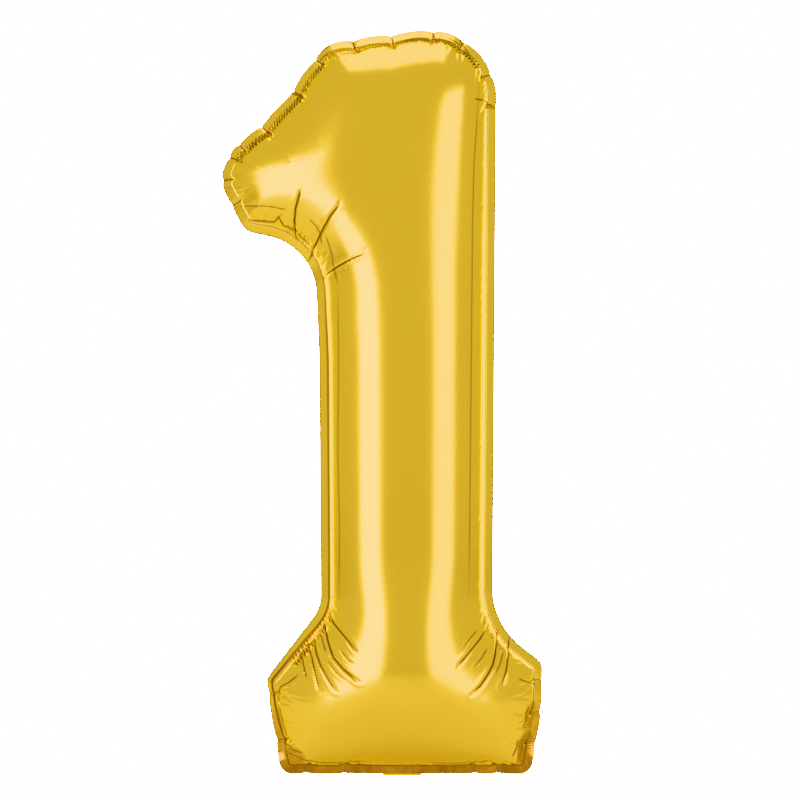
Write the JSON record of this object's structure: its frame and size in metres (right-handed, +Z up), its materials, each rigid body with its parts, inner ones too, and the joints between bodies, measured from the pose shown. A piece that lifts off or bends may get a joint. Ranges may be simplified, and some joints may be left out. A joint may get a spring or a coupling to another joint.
{
  "type": "foil number balloon",
  "caption": "Inflated gold foil figure-one balloon: puffed stem with a flag at the top and a wide foot, crimped welded edge, folded filling tail and inner film valve.",
  "frame": {"origin": "foot of the tail's fold, at the bottom centre, where the ribbon is tied", "axes": "+Z up the figure, front towards -Y, the figure's flag towards -X"},
  "size_m": [0.3722, 0.1874, 0.864],
  "materials": {
    "gold_foil": "polished",
    "clear_film": "satin",
    "weld": "satin"
  },
  "bodies": {
    "envelope": {"front_panel": "gold_foil", "back_panel": "gold_foil", "perimeter_seal": "weld", "throat_front_film": "clear_film", "throat_back_film": "clear_film"},
    "tail": {"tail_front_foil": "gold_foil", "tail_back_foil": "gold_foil", "tail_side_seals": "weld", "tail_front_film": "clear_film", "tail_back_film": "clear_film"},
    "valve_tube": {"valve_back_film": "clear_film", "valve_side_seals": "weld"},
    "valve_flap": {"valve_front_film": "clear_film"}
  },
  "joints": [
    {"name": "tail_fold", "type": "hinge", "parent": "envelope", "child": "tail", "pos_m": [0, 0, 0.0005], "axis": [-1, 0, 0], "range_deg": [0, 135]},
    {"name": "valve_swing", "type": "hinge", "parent": "envelope", "child": "valve_tube", "pos_m": [0, 0, 0.0131], "axis": [1, 0, 0], "range_deg": [-15, 15], "stiffness_Nm_per_rad": 0.0005},
    {"name": "valve_gape", "type": "hinge", "parent": "valve_tube", "child": "valve_flap", "pos_m": [0, 0, 0.0131], "axis": [1, 0, 0], "range_deg": [0, 6], "stiffness_Nm_per_rad": 0.0005}
  ]
}
